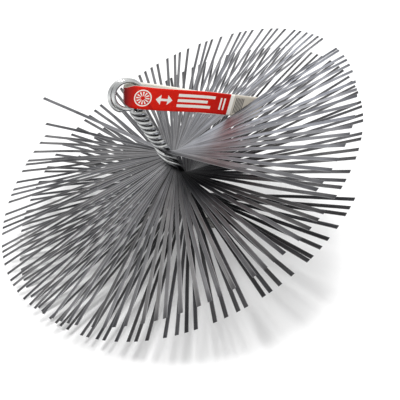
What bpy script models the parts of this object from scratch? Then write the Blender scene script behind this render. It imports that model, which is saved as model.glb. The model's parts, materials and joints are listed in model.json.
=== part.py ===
"""Chimney sweep brush: flat steel strips fanned through a twisted wire stem, with an eye, a rod thread and a tag.

The brush is built upright in its own frame, with the stem on Z and the first strip at height zero.
An empty then leans it over until its rod thread and its lowest strip tips stand on the ground, at Z zero.
Metres, +Z up.
"""
import math
import random

import bmesh
import bpy
from mathutils import Matrix, Vector

# Flat steel strips
brush_diameter = 0.250
strip_width = 0.0024
strip_thickness = 0.00028
strip_gap = 0.00006
pack_gap = 0.0003
core_radius = 0.0010
strips_per_pack = 4
pack_count = 28
core_sides = 8

# How the strips fan round the stem, from the first at the top to the last
fan_turn = math.radians(369.2)
crowding_share = 0.075
rise_first = math.radians(4.1)
rise_last = math.radians(8.6)
swing_first = math.radians(6.3)
lone_strip_lift = math.radians(10.6)
lone_strip_lag = math.radians(2.8)
second_strip_lift = math.radians(2.8)
strip_wander = math.radians(0.55)
half_wander = math.radians(0.35)
wander_seed = 12

# Steel wire of the stem: two hairpins side by side, with the strips between their four legs
wire_diameter = 0.0027
wire_gap = 0.0004
rope_radius = 0.0029
channel_clearance = 0.0005
settle_length = 0.0060
settle_margin = 0.0005
rope_half_turns = 4.5
points_per_turn = 12
fan_points = 15
wire_bevel_resolution = 2
gap_check_detail = 3

# Eye on top of the stem
eye_height = 0.0471
eye_spacing = 0.0034
eye_plane = math.radians(67.0)
front_eye_radius = 0.0087
front_eye_shift = 0.0014
front_eye_rise = -0.0004
back_eye_radius = 0.0096
back_eye_shift = -0.0001
back_eye_rise = -0.0015
neck_drop = 0.0026
front_running_angle = math.radians(20.0)
front_turning_angle = math.radians(34.0)
back_running_angle = math.radians(40.0)
back_turning_angle = math.radians(60.0)
eye_points = 18
neck_points = 4

# Rod thread under the stem
end_drop = 0.0055
end_bore_clearance = 0.0003
end_wall = 0.0032
end_bore_depth = 0.0090
end_collar_length = 0.0140
stud_radius = 0.0060
stud_length = 0.0145
end_chamfer = 0.0008
turned_steps = 32

# Card tag folded through the eye
tag_plane = math.radians(59.3)
tag_droop = math.radians(41.2)
tag_width = 0.0144
front_half_shift = 0.0005
back_half_shift_near = -0.0012
back_half_shift_far = 0.0003
tag_length = 0.0895
card_thickness = 0.0003
sheet_spacing = 0.0006
loop_front_depth = 0.0041
loop_back_depth = 0.0054
loop_tip = 0.0014
loop_mouth = 0.0035
loop_flat_end = 0.0115
sheets_meet = 0.0550
fold_upper_half = 0.0041
fold_lower_half = 0.0054
fold_skew = math.radians(10.0)
shoulder_start = -0.0030
upper_shoulder_end = 0.0040
lower_shoulder_end = 0.0058
tag_gap_angle = math.radians(3.5)
tag_gap_reach = math.radians(10.0)
fold_steps = 10
sheet_steps = 6

# How the brush lies
lean_side = math.radians(249.0)
lean_heading = math.radians(180.0)
steepest_lean = math.radians(60.0)
lean_halvings = 60
tip_flat = 0.0005
ground_margin = 0.0500

strip_count = strips_per_pack * pack_count
pack_height = strips_per_pack * strip_thickness + (strips_per_pack - 1) * strip_gap
stack_height = pack_count * pack_height + (pack_count - 1) * pack_gap
end_bore_radius = rope_radius + wire_diameter / 2 + end_bore_clearance
end_collar_radius = end_bore_radius + end_wall
end_collar_top = -(stack_height + end_drop)
stud_end = end_collar_top - end_collar_length - stud_length


def new_collection(name):
    """Make a collection in the scene."""
    collection = bpy.data.collections.new(name)
    bpy.context.scene.collection.children.link(collection)
    return collection


def new_material(name, colour, metallic, roughness):
    """Make a Principled material."""
    material = bpy.data.materials.new(name)
    material.use_nodes = True
    shader = material.node_tree.nodes["Principled BSDF"]
    shader.inputs["Base Color"].default_value = (*colour, 1.0)
    shader.inputs["Metallic"].default_value = metallic
    shader.inputs["Roughness"].default_value = roughness
    material.diffuse_color = (*colour, 1.0)
    return material


def new_object(name, data, collection, parent, material):
    """Link an object with its data under a parent, and give it its material."""
    piece = bpy.data.objects.new(name, data)
    collection.objects.link(piece)
    piece.parent = parent
    if material:
        data.materials.append(material)
    return piece


def mesh_from_bmesh(name, bm):
    """Turn a bmesh into a mesh."""
    mesh = bpy.data.meshes.new(name)
    bm.to_mesh(mesh)
    bm.free()
    return mesh


def smooth(share):
    """Ease from 0 to 1."""
    share = min(max(share, 0.0), 1.0)
    return share * share * (3 - 2 * share)


def eased_length(share):
    """Length gathered under smooth() up to a share, as a share of the whole stretch."""
    share = min(max(share, 0.0), 1.0)
    return share ** 3 - share ** 4 / 2


# The twist that the strips and the wires share

fan_rate_top = fan_turn * (1 + crowding_share) / stack_height
fan_rate_bottom = fan_turn * (1 - crowding_share) / stack_height
neck_height = eye_height - front_eye_radius - neck_drop
rope_turn = rope_half_turns * math.pi - eye_plane
rope_rate = (rope_turn - fan_rate_top * settle_length / 2) / (neck_height - settle_length / 2)


def twist_beyond(distance, fan_rate):
    """Angle turned over a distance outside the fan, where the fan's rate eases into the rope's."""
    share = distance / settle_length
    return fan_rate * distance + (rope_rate - fan_rate) * (
        settle_length * eased_length(share) + max(distance - settle_length, 0)
    )


def twist_at(height):
    """Direction of the strips' channel between the wires at a height."""
    if height > 0:
        return -twist_beyond(height, fan_rate_top)
    if height < -stack_height:
        return fan_turn + twist_beyond(-height - stack_height, fan_rate_bottom)
    share = -height / stack_height
    return fan_turn * (share * (1 + crowding_share) - crowding_share * share * share)


# Strips

def strip_height(index):
    """Height of a strip's middle plane."""
    pack = index // strips_per_pack
    steps = index % strips_per_pack
    return -(pack * (pack_height + pack_gap) + steps * (strip_thickness + strip_gap) + strip_thickness / 2)


def clear_of_tag(angle):
    """Push a strip end aside where the tag passes between the strips."""
    offset = (angle - tag_plane + math.pi) % (2 * math.pi) - math.pi
    if abs(offset) >= tag_gap_reach:
        return angle
    pushed = tag_gap_angle + abs(offset) * (tag_gap_reach - tag_gap_angle) / tag_gap_reach
    return angle - offset + math.copysign(pushed, offset)


def strip_ends():
    """Direction and rise of both ends of every strip: (angle A, rise A, angle B, rise B)."""
    chance = random.Random(wander_seed)
    ends = []
    for index in range(strip_count):
        share = index / (strip_count - 1)
        wander = chance.uniform(-strip_wander, strip_wander)
        half_a = chance.uniform(-half_wander, half_wander)
        half_b = chance.uniform(-half_wander, half_wander)
        middle = twist_at(strip_height(index)) + wander
        swing = swing_first * (1 - share) / 2
        rise = rise_first + (rise_last - rise_first) * share
        lift = {0: lone_strip_lift, 1: second_strip_lift}.get(index, 0)
        lag = lone_strip_lag if index == 0 else 0
        angle_a = middle - swing + half_a
        if share < 1 / 2:
            angle_a = clear_of_tag(angle_a)
        ends.append((angle_a, rise, middle + swing + half_b - lag + math.pi, rise + lift))
    return ends


def add_strip(bm, height, end_a, rise_a, end_b, rise_b):
    """Add one strip: a bar bent at the stem, with each half in its own direction and at its own rise."""
    middle = (end_a + end_b - math.pi) / 2
    size = Matrix.Diagonal((brush_diameter, strip_width, strip_thickness, 1))
    bar = bmesh.ops.create_cube(bm, size=1, matrix=size)
    verts = bar["verts"]
    edges = list({edge for vert in verts for edge in vert.link_edges})
    faces = list({face for vert in verts for face in vert.link_faces})
    bmesh.ops.bisect_plane(
        bm, geom=verts + edges + faces, dist=0, plane_co=(0, 0, 0), plane_no=(1, 0, 0),
    )
    linked = set(verts)
    for vert in verts:
        linked.update(edge.other_vert(vert) for edge in vert.link_edges)
    turn = Matrix.Rotation(middle, 3, "Z")
    for vert in linked:
        if vert.co.x > 0:
            half = Matrix.Rotation(end_a - middle, 3, "Z") @ Matrix.Rotation(-rise_a, 3, "Y")
        elif vert.co.x < 0:
            half = Matrix.Rotation(end_b - math.pi - middle, 3, "Z") @ Matrix.Rotation(rise_b, 3, "Y")
        else:
            half = Matrix.Identity(3)
        vert.co = turn @ half @ vert.co + Vector((0, 0, height))


def make_strip_pack(number, ends, parts, cutters, pose, material):
    """Make one pack of neighbouring strips, joined by a core through their middles."""
    first = number * strips_per_pack
    bm = bmesh.new()
    for index in range(first, first + strips_per_pack):
        add_strip(bm, strip_height(index), *ends[index])
    name = f"strips_{number + 1:02d}"
    pack = new_object(name, mesh_from_bmesh(name, bm), parts, pose, material)
    low = strip_height(first + strips_per_pack - 1)
    high = strip_height(first)
    bm = bmesh.new()
    bmesh.ops.create_cone(
        bm, cap_ends=True, segments=core_sides, radius1=core_radius, radius2=core_radius, depth=high - low,
        matrix=Matrix.Translation((0, 0, (low + high) / 2)) @ Matrix.Rotation(twist_at(high), 4, "Z"),
    )
    core = new_object(f"{name}_core", mesh_from_bmesh(f"{name}_core", bm), cutters, pose, None)
    join = pack.modifiers.new("join core", "BOOLEAN")
    join.operation = "UNION"
    join.object = core
    return pack


# Wires

def leg_offsets(height):
    """How far a leg runs along the channel and beside it: close round the strips, square in the rope."""
    beyond = max(height, -stack_height - height) - settle_margin
    share = smooth(beyond / (settle_length - settle_margin))
    slope = math.atan((strip_width + wire_diameter) * fan_rate_top / 2)
    fan_along = (wire_diameter + wire_gap) / (2 * math.cos(slope))
    fan_beside = strip_width / 2 + channel_clearance + wire_diameter / (2 * math.cos(slope))
    rope_each = rope_radius / math.sqrt(2)
    return fan_along + (rope_each - fan_along) * share, fan_beside + (rope_each - fan_beside) * share


def leg_point(height, wire_side, leg_side):
    """A point on the centre line of one leg of a wire."""
    along, beside = leg_offsets(height)
    point = Vector((wire_side * along, leg_side * beside, height))
    return Matrix.Rotation(twist_at(height), 3, "Z") @ point


def leg_heights(detail):
    """Heights of a leg's points, from its end in the collar up to the neck of the eye."""
    rope_step = 2 * math.pi / rope_rate / (points_per_turn * detail)
    fan_step = stack_height / (fan_points * detail)
    height = end_collar_top - end_bore_depth + wire_diameter / 2 + wire_gap
    heights = []
    while height < neck_height - rope_step / 2:
        heights.append(height)
        inside = -stack_height < height < -fan_step
        height += fan_step if inside else rope_step
    return heights + [neck_height]


def eye_point(angle, wire_side):
    """A point on a wire's circle in the eye, by its angle from the bottom of the eye."""
    radius = front_eye_radius if wire_side > 0 else back_eye_radius
    shift = front_eye_shift if wire_side > 0 else back_eye_shift
    rise = front_eye_rise if wire_side > 0 else back_eye_rise
    across = shift + radius * math.sin(angle)
    height = eye_height + rise - radius * math.cos(angle)
    point = Vector((wire_side * eye_spacing / 2, across, height))
    return Matrix.Rotation(twist_at(neck_height), 3, "Z") @ point


def eye_middle():
    """Middle of the opening that the two circles share."""
    point = Vector((0, (front_eye_shift + back_eye_shift) / 2, eye_height))
    return Matrix.Rotation(twist_at(neck_height), 3, "Z") @ point


def eye_open_angle(wire_side, leg_side):
    """Angle from the bottom of the eye at which a leg leaves the circle: wider where it has to turn back."""
    if wire_side > 0:
        return front_turning_angle if leg_side > 0 else front_running_angle
    return back_running_angle if leg_side > 0 else back_turning_angle


def neck_curve(wire_side, leg_side, detail):
    """Points that lead one leg from the neck out to the eye's circle."""
    reach = (neck_height - leg_heights(1)[-2]) / 4
    start = leg_point(neck_height, wire_side, leg_side)
    start_way = (start - leg_point(neck_height - reach, wire_side, leg_side)).normalized()
    angle = leg_side * eye_open_angle(wire_side, leg_side)
    end = eye_point(angle, wire_side)
    end_way = (eye_point(angle + leg_side * math.pi / (eye_points * detail), wire_side) - end).normalized()
    length = (end - start).length
    steps = neck_points * detail
    points = []
    for step in range(1, steps):
        t = step / steps
        points.append(
            start * (2 * t ** 3 - 3 * t ** 2 + 1) + start_way * length * (t ** 3 - 2 * t ** 2 + t)
            + end * (3 * t ** 2 - 2 * t ** 3) + end_way * length * (t ** 3 - t ** 2)
        )
    return points


def hairpin_points(wire_side, detail=1):
    """Centre line of one wire: up one leg, round the eye and down the other leg."""
    heights = leg_heights(detail)
    points = [leg_point(height, wire_side, 1) for height in heights]
    points += neck_curve(wire_side, 1, detail)
    first = eye_open_angle(wire_side, 1)
    last = 2 * math.pi - eye_open_angle(wire_side, -1)
    steps = eye_points * detail
    points += [eye_point(first + (last - first) * step / steps, wire_side) for step in range(steps + 1)]
    points += reversed(neck_curve(wire_side, -1, detail))
    points += [leg_point(height, wire_side, -1) for height in reversed(heights)]
    return points


def least_wire_gap():
    """Least clear distance between the two wires, and between the legs of one, measured on close points."""
    first = hairpin_points(1, gap_check_detail)
    second = hairpin_points(-1, gap_check_detail)
    apart = min((a - b).length for a in first for b in second)
    leg_count = len(leg_heights(gap_check_detail))
    legs = min((a - b).length for a in first[:leg_count] for b in first[-leg_count:])
    return min(apart, legs) - wire_diameter


def make_wire(name, wire_side, parts, pose, material):
    """Make one hairpin wire as a bevelled line with capped ends."""
    curve = bpy.data.curves.new(name, "CURVE")
    curve.dimensions = "3D"
    curve.bevel_depth = wire_diameter / 2
    curve.bevel_resolution = wire_bevel_resolution
    curve.use_fill_caps = True
    points = hairpin_points(wire_side)
    spline = curve.splines.new("POLY")
    spline.points.add(len(points) - 1)
    for target, point in zip(spline.points, points):
        target.co = (*point, 1)
    return new_object(name, curve, parts, pose, material)


# Rod thread

def make_threaded_end(parts, pose, material):
    """Turn the collar that holds the four wire ends, with the M12 stud below it."""
    bore_end = end_collar_top - end_bore_depth
    shoulder = end_collar_top - end_collar_length
    profile = [
        (0, bore_end),
        (end_bore_radius, bore_end),
        (end_bore_radius, end_collar_top),
        (end_collar_radius - end_chamfer, end_collar_top),
        (end_collar_radius, end_collar_top - end_chamfer),
        (end_collar_radius, shoulder + end_chamfer),
        (end_collar_radius - end_chamfer, shoulder),
        (stud_radius, shoulder),
        (stud_radius, stud_end + end_chamfer),
        (stud_radius - end_chamfer, stud_end),
        (0, stud_end),
    ]
    bm = bmesh.new()
    corners = [bm.verts.new((radius, 0, height)) for radius, height in profile]
    for start, end in zip(corners, corners[1:]):
        bm.edges.new((start, end))
    turned = new_object("threaded_end", mesh_from_bmesh("threaded_end", bm), parts, pose, material)
    screw = turned.modifiers.new("turn", "SCREW")
    screw.steps = turned_steps
    screw.render_steps = turned_steps
    screw.use_merge_vertices = True
    screw.merge_threshold = end_chamfer / 100
    screw.use_smooth_shade = True
    return turned


# Tag

def tag_half_path(depth, side):
    """Cross-section of one half of the folded card, from the fold to its end: (along, out)."""
    path = []
    for step in range(fold_steps + 1):
        angle = step * math.pi / (2 * fold_steps)
        path.append((loop_mouth - (loop_mouth + loop_tip) * math.cos(angle), side * depth * math.sin(angle)))
    path.append((loop_flat_end, side * depth))
    for step in range(1, sheet_steps + 1):
        share = step / sheet_steps
        along = loop_flat_end + (sheets_meet - loop_flat_end) * share
        path.append((along, side * (depth + (sheet_spacing / 2 - depth) * smooth(share))))
    path.append((tag_length, side * sheet_spacing / 2))
    return path


def tag_path():
    """Cross-section of the folded card from its back end round the fold to its front end: (along, out)."""
    back = tag_half_path(loop_back_depth, -1)
    return back[:0:-1] + tag_half_path(loop_front_depth, 1)


def half_shift(along, out):
    """How far a half of the card lies off its middle line: the two halves are a little askew."""
    if out > 0:
        return front_half_shift
    return back_half_shift_near + (back_half_shift_far - back_half_shift_near) * along / tag_length


def tag_edge_point(along, out, side):
    """A point on an edge of the card, which is drawn narrow and slants where it folds through the eye."""
    fold_half = fold_upper_half if side > 0 else fold_lower_half
    shoulder_end = upper_shoulder_end if side > 0 else lower_shoulder_end
    share = smooth((along - shoulder_start) / (shoulder_end - shoulder_start))
    across = side * (fold_half + (tag_width / 2 - fold_half) * share) + half_shift(along, out) * share
    return Vector((along - across * math.tan(fold_skew) * (1 - share), across, out))


def make_tag(parts, pose, material):
    """Fold the card tag through the eye. Its origin is the middle of the eye, which it swings round."""
    path = tag_path()
    bm = bmesh.new()
    grid = bmesh.ops.create_grid(bm, x_segments=len(path) - 1, y_segments=1, size=1)
    for vert in grid["verts"]:
        along, out = path[round((vert.co.x + 1) / 2 * (len(path) - 1))]
        side = 1 if vert.co.y > 0 else -1
        vert.co = tag_edge_point(along, out, side)
    tag = new_object("size_tag", mesh_from_bmesh("size_tag", bm), parts, pose, material)
    outward = Vector((math.cos(tag_plane), math.sin(tag_plane), 0))
    up = Vector((0, 0, 1))
    along_way = outward * math.cos(tag_droop) - up * math.sin(tag_droop)
    across_way = outward * math.sin(tag_droop) + up * math.cos(tag_droop)
    axes = Matrix((along_way, across_way, along_way.cross(across_way))).transposed()
    tag.matrix_local = Matrix.Translation(eye_middle()) @ axes.to_4x4()
    card = tag.modifiers.new("card", "SOLIDIFY")
    card.thickness = card_thickness
    card.offset = 0
    card.use_even_offset = True
    return tag


# Lying on the ground

def lean(tilt):
    """Turn the brush so that its low side comes down, and lean it by the tilt."""
    across = Vector((-math.sin(lean_heading), math.cos(lean_heading), 0))
    return Matrix.Rotation(tilt, 4, across) @ Matrix.Rotation(lean_heading - lean_side, 4, "Z")


def lowest_tip(turned, ends):
    """Height of the lowest strip tip in a leaning brush."""
    heights = []
    for index, (end_a, rise_a, end_b, rise_b) in enumerate(ends):
        for angle, rise in ((end_a, rise_a), (end_b, rise_b)):
            reach = brush_diameter / 2
            outward = Vector((math.cos(angle), math.sin(angle), 0))
            tip = outward * reach * math.cos(rise)
            tip.z = strip_height(index) + reach * math.sin(rise) - strip_thickness / 2
            heights.append((turned @ tip).z)
    return min(heights)


def lowest_stud(turned):
    """Height of the lowest point of the stud's end in a leaning brush."""
    rims = ((stud_radius - end_chamfer, stud_end), (stud_radius, stud_end + end_chamfer))
    low = []
    for radius, height in rims:
        for step in range(turned_steps):
            angle = 2 * math.pi * step / turned_steps
            low.append((turned @ Vector((radius * math.cos(angle), radius * math.sin(angle), height))).z)
    return min(low)


def resting_tilt(ends):
    """Find the tilt at which the lowest tip lies a little below the stud's end, ready to be cut flat."""
    flat, steep = 0, steepest_lean
    for _ in range(lean_halvings):
        tilt = (flat + steep) / 2
        turned = lean(tilt)
        if lowest_tip(turned, ends) > lowest_stud(turned) - tip_flat:
            flat = tilt
        else:
            steep = tilt
    return tilt


def world_corners(pieces):
    """Lowest and highest corner of the finished pieces."""
    graph = bpy.context.evaluated_depsgraph_get()
    points = []
    for piece in pieces:
        shown = piece.evaluated_get(graph)
        mesh = shown.to_mesh()
        points += [shown.matrix_world @ vert.co for vert in mesh.vertices]
        shown.to_mesh_clear()
    low = Vector(min(point[axis] for point in points) for axis in range(3))
    high = Vector(max(point[axis] for point in points) for axis in range(3))
    return low, high


def cut_at_ground(pieces, cutters):
    """Cut flat the strips that reach below the ground."""
    side = brush_diameter + 2 * ground_margin
    bm = bmesh.new()
    below = Matrix.Translation((0, 0, -ground_margin / 2))
    bmesh.ops.create_cube(bm, size=1, matrix=below @ Matrix.Diagonal((side, side, ground_margin, 1)))
    ground = new_object("ground_cut", mesh_from_bmesh("ground_cut", bm), cutters, None, None)
    for piece in pieces:
        if world_corners([piece])[0].z < 0:
            cut = piece.modifiers.new("cut at ground", "BOOLEAN")
            cut.operation = "DIFFERENCE"
            cut.object = ground


def main():
    for old in list(bpy.data.objects):
        bpy.data.objects.remove(old, do_unlink=True)
    parts = new_collection("chimney_sweep_brush")
    cutters = new_collection("cutters")
    pose = new_object("brush_pose", None, parts, None, None)
    strip_steel = new_material("strip steel", (0.30, 0.31, 0.33), 1.0, 0.38)
    zinc_wire = new_material("zinc plated wire", (0.62, 0.63, 0.62), 1.0, 0.22)
    turned_steel = new_material("turned steel", (0.50, 0.50, 0.49), 1.0, 0.30)
    tag_card = new_material("tag card", (0.62, 0.03, 0.01), 0.0, 0.50)

    ends = strip_ends()
    packs = [
        make_strip_pack(number, ends, parts, cutters, pose, strip_steel) for number in range(pack_count)
    ]
    wires = [
        make_wire("hairpin_wire_front", 1, parts, pose, zinc_wire),
        make_wire("hairpin_wire_back", -1, parts, pose, zinc_wire),
    ]
    threaded_end = make_threaded_end(parts, pose, turned_steel)
    tag = make_tag(parts, pose, tag_card)

    turned = lean(resting_tilt(ends))
    pose.matrix_world = Matrix.Translation((0, 0, -lowest_stud(turned))) @ turned
    bpy.context.view_layer.update()
    cut_at_ground(packs, cutters)
    low, high = world_corners(packs + wires + [threaded_end, tag])
    pose.location.x -= (low.x + high.x) / 2
    pose.location.y -= (low.y + high.y) / 2
    for cutter in cutters.objects:
        cutter.hide_render = True
        cutter.display_type = "WIRE"
    bpy.context.view_layer.update()
    print(f"strips {strip_count}, least gap between wires {least_wire_gap():.5f} m")


main()
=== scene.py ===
"""Looks of the chimney sweep brush: steel strips, stem wires, the thread for the rod and the card tag."""
import json
import logging
import math
import random
from collections.abc import Iterable
from dataclasses import dataclass
from enum import Enum
from functools import reduce

import bmesh
import bpy
from mathutils import Matrix, Vector


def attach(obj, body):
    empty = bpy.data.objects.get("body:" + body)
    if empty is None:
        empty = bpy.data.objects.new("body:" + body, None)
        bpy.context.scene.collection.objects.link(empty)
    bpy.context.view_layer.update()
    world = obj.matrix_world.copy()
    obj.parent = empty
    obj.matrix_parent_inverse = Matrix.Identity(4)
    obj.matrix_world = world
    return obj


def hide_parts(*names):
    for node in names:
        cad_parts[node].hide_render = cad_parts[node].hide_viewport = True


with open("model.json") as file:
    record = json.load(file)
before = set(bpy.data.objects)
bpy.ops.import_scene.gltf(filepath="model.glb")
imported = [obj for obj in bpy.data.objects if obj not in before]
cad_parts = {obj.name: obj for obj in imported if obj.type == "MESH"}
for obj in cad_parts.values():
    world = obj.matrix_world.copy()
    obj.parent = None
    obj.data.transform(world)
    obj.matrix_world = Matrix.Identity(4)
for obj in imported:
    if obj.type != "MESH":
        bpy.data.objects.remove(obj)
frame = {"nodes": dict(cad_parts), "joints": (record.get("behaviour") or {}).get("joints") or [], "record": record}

LOG = logging.getLogger("chimney_brush")
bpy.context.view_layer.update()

Socket = bpy.types.NodeSocket
Value = float | Socket
Point = tuple[float, float]
Colour = tuple[float, float, float]
Tint = Colour | Socket

WHITE = (1.0, 1.0, 1.0)
OPAQUE = 1.0
UV_MIDDLE = 0.5
MILLIMETRES_PER_METRE = 1000.0
TREE_SOCKETS = {
    float: "NodeSocketFloat",
    int: "NodeSocketInt",
    Vector: "NodeSocketVector",
    bpy.types.Material: "NodeSocketMaterial",
}


class Body(Enum):
    """The two bodies that pieces ride on."""

    BRUSH = "brush"
    TAG = "tag"


class Slot(Enum):
    """The record's material slots."""

    STRIPS = "strip_steel"
    WIRE = "stem_wire"
    END = "turned_steel"
    TAG = "tag_card"


@dataclass(frozen=True)
class Span:
    """A range of a value, from low to high, and the range that it is carried over to, from start to end."""

    low: Value
    high: Value
    start: float
    end: float


@dataclass(frozen=True)
class Grain:
    """A noise pattern's scale, detail and roughness."""

    scale: float
    detail: float = 3.0
    roughness: float = 0.5


@dataclass(frozen=True)
class Relief:
    """A bump's strength, and its depth in metres."""

    strength: float
    depth: float


def progress(value: float, low: float, high: float) -> float:
    """Say how far a value has come from one bound to the other, as a share held between 0 and 1."""
    return min(max((value - low) / (high - low), 0.0), 1.0)


def ease(value: float, low: float, high: float) -> float:
    """Rise from 0 at one bound to 1 at the other, gently at both ends."""
    share = progress(value, low, high)
    return share * share * (3 - 2 * share)


def mean(points: list[Vector]) -> Vector:
    """Return the mean of some points."""
    return sum(points, Vector()) / len(points)


class Graph:
    """A node tree being built, with short ways to add and join its nodes."""

    # A Mix node's colour sockets share their names with its other sockets, so they are found by number.
    MIX_INPUTS = (0, 6, 7)
    MIX_OUTPUT = 2

    def __init__(self, tree: bpy.types.NodeTree) -> None:
        """Start on a tree."""
        self.tree = tree

    def feed(self, node: bpy.types.Node, inputs: dict) -> None:
        """Set a node's sockets.

        Args:
            node: The node.
            inputs: Names or numbers of its sockets, each with a value or the socket that feeds it.
        """
        for key, value in inputs.items():
            if isinstance(value, Socket):
                self.tree.links.new(value, node.inputs[key])
            else:
                node.inputs[key].default_value = value

    def add(self, kind: str, inputs: dict | None = None, **settings: object) -> bpy.types.Node:
        """Add a node.

        Args:
            kind: The node's type.
            inputs: Names or numbers of sockets, each with a value or the socket that feeds it.
            settings: The node's own properties.

        Returns:
            The node.
        """
        node = self.tree.nodes.new(kind)
        for name, value in settings.items():
            setattr(node, name, value)
        self.feed(node, inputs or {})
        return node

    def result(self, kind: str, inputs: dict | None = None, **settings: object) -> Socket:
        """Add a node as add does, and return its first output."""
        return self.add(kind, inputs, **settings).outputs[0]

    def math(self, operation: str, *values: Value) -> Socket:
        """Add a Math node on numbers or sockets, and return its result."""
        return self.result("ShaderNodeMath", dict(enumerate(values)), operation=operation)

    def product(self, *values: Value) -> Socket:
        """Multiply values."""
        return reduce(lambda first, second: self.math("MULTIPLY", first, second), values)

    def highest(self, *values: Value) -> Socket:
        """Return the highest of some values."""
        return reduce(lambda first, second: self.math("MAXIMUM", first, second), values)

    def above(self, value: Value, bound: Value) -> Socket:
        """Return 1 where a value is over a bound, and 0 elsewhere."""
        return self.math("GREATER_THAN", value, bound)

    def below(self, value: Value, bound: Value) -> Socket:
        """Return 1 where a value is under a bound, and 0 elsewhere."""
        return self.math("LESS_THAN", value, bound)

    def between(self, value: Value, low: float, high: float) -> Socket:
        """Return 1 where a value lies between two bounds, and 0 elsewhere."""
        return self.product(self.above(value, low), self.below(value, high))

    def near(self, value: Value, place: float, reach: float) -> Socket:
        """Return 1 where a value lies within a reach of a place, and 0 elsewhere."""
        return self.between(value, place - reach, place + reach)

    def ramp(self, value: Value, span: Span) -> Socket:
        """Carry a value over a span, and hold it at both ends."""
        bounds = {"From Min": span.low, "From Max": span.high, "To Min": span.start, "To Max": span.end}
        return self.result("ShaderNodeMapRange", {"Value": value} | bounds)

    def mix(self, share: Value, first: Tint, second: Tint, blend: str = "MIX") -> Socket:
        """Mix two colours.

        Args:
            share: The second colour's share.
            first: The first colour, or the socket that gives it.
            second: The second colour, or the socket that gives it.
            blend: The way in which they mix.

        Returns:
            The mixed colour.
        """
        colours = [(*colour, OPAQUE) if isinstance(colour, tuple) else colour for colour in (first, second)]
        inputs = dict(zip(self.MIX_INPUTS, (share, *colours)))
        return self.add("ShaderNodeMix", inputs, data_type="RGBA", blend_type=blend).outputs[self.MIX_OUTPUT]

    def shade(self, colour: Socket, value: Value, span: Span) -> Socket:
        """Make a colour lighter or darker by a value that is carried over a span."""
        return self.mix(1.0, colour, self.ramp(value, span), "MULTIPLY")

    def noise(self, place: Socket, grain: Grain) -> Socket:
        """Add a noise pattern and return its value."""
        inputs = {"Vector": place, "Scale": grain.scale, "Detail": grain.detail, "Roughness": grain.roughness}
        return self.result("ShaderNodeTexNoise", inputs)

    def bump(self, height: Socket, relief: Relief) -> Socket:
        """Turn a height into a bumped normal."""
        inputs = {"Height": height, "Strength": relief.strength, "Distance": relief.depth}
        return self.result("ShaderNodeBump", inputs)

    def join(self, x: Value, y: Value, z: Value) -> Socket:
        """Join three numbers into a vector."""
        return self.result("ShaderNodeCombineXYZ", {"X": x, "Y": y, "Z": z})

    def split(self, vector: Socket) -> bpy.types.NodeOutputs:
        """Split a vector into its three numbers."""
        return self.add("ShaderNodeSeparateXYZ", {0: vector}).outputs

    def vector_math(self, operation: str, output: str, *values: Socket) -> Socket:
        """Add a Vector Math node on some vectors, and return the output of that name."""
        return self.add("ShaderNodeVectorMath", dict(enumerate(values)), operation=operation).outputs[output]

    def attribute(self, name: str) -> Socket:
        """Read a number that the mesh carries, inside a material."""
        return self.add("ShaderNodeAttribute", attribute_name=name).outputs["Fac"]

    def object_place(self) -> Socket:
        """Return the place of the point in its object's own coordinates, inside a material."""
        return self.add("ShaderNodeTexCoord").outputs["Object"]

    def recall(self, name: str, kind: str = "FLOAT") -> Socket:
        """Read what the mesh carries under a name, inside a Geometry Nodes tree."""
        return self.result("GeometryNodeInputNamedAttribute", {"Name": name}, data_type=kind)

    def store(self, geometry: Socket, name: str, value: Value) -> Socket:
        """Store a number on a geometry's points, and return the geometry."""
        inputs = {"Geometry": geometry, "Name": name, "Value": value}
        return self.result("GeometryNodeStoreNamedAttribute", inputs, data_type="FLOAT", domain="POINT")

    def sweep(self, line: Socket, section: Socket) -> Socket:
        """Draw a section along a line as a mesh that is closed at both ends."""
        inputs = {"Curve": line, "Profile Curve": section, "Fill Caps": True}
        return self.result("GeometryNodeCurveToMesh", inputs)


def new_material(name: str) -> tuple[bpy.types.Material, Graph, bpy.types.Node]:
    """Start a material.

    Args:
        name: The material's name.

    Returns:
        The material, its node graph and its shader node.
    """
    material = bpy.data.materials.new(name)
    material.use_nodes = True
    return material, Graph(material.node_tree), material.node_tree.nodes["Principled BSDF"]


def new_tree(name: str, values: dict[str, object]) -> tuple[Graph, bpy.types.NodeOutputs]:
    """Start a Geometry Nodes tree.

    Args:
        name: The tree's name.
        values: Names of its inputs after the geometry, each with the value that it will be given.

    Returns:
        The graph, and the sockets that its inputs come in by.
    """
    tree = bpy.data.node_groups.new(name, "GeometryNodeTree")
    tree.interface.new_socket(name="Geometry", in_out="INPUT", socket_type="NodeSocketGeometry")
    for label, value in values.items():
        tree.interface.new_socket(name=label, in_out="INPUT", socket_type=TREE_SOCKETS[type(value)])
    tree.interface.new_socket(name="Geometry", in_out="OUTPUT", socket_type="NodeSocketGeometry")
    graph = Graph(tree)
    return graph, graph.add("NodeGroupInput").outputs


def close_tree(graph: Graph, geometry: Socket, material: Socket) -> None:
    """End a tree in plain, smooth, dressed geometry.

    Args:
        graph: The tree's graph.
        geometry: What the tree has made.
        material: The material that it takes.
    """
    plain = graph.result("GeometryNodeRealizeInstances", {"Geometry": geometry})
    smooth = graph.result("GeometryNodeSetShadeSmooth", {"Geometry": plain, "Shade Smooth": True})
    dressed = graph.result("GeometryNodeSetMaterial", {"Geometry": smooth, "Material": material})
    graph.add("NodeGroupOutput", {"Geometry": dressed})


def new_object(name: str, data: bpy.types.ID) -> bpy.types.Object:
    """Put a new object into the scene.

    Args:
        name: The object's name.
        data: Its mesh, lamp or camera.

    Returns:
        The object, at the origin.
    """
    made = bpy.data.objects.new(name, data)
    bpy.context.scene.collection.objects.link(made)
    return made


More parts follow.
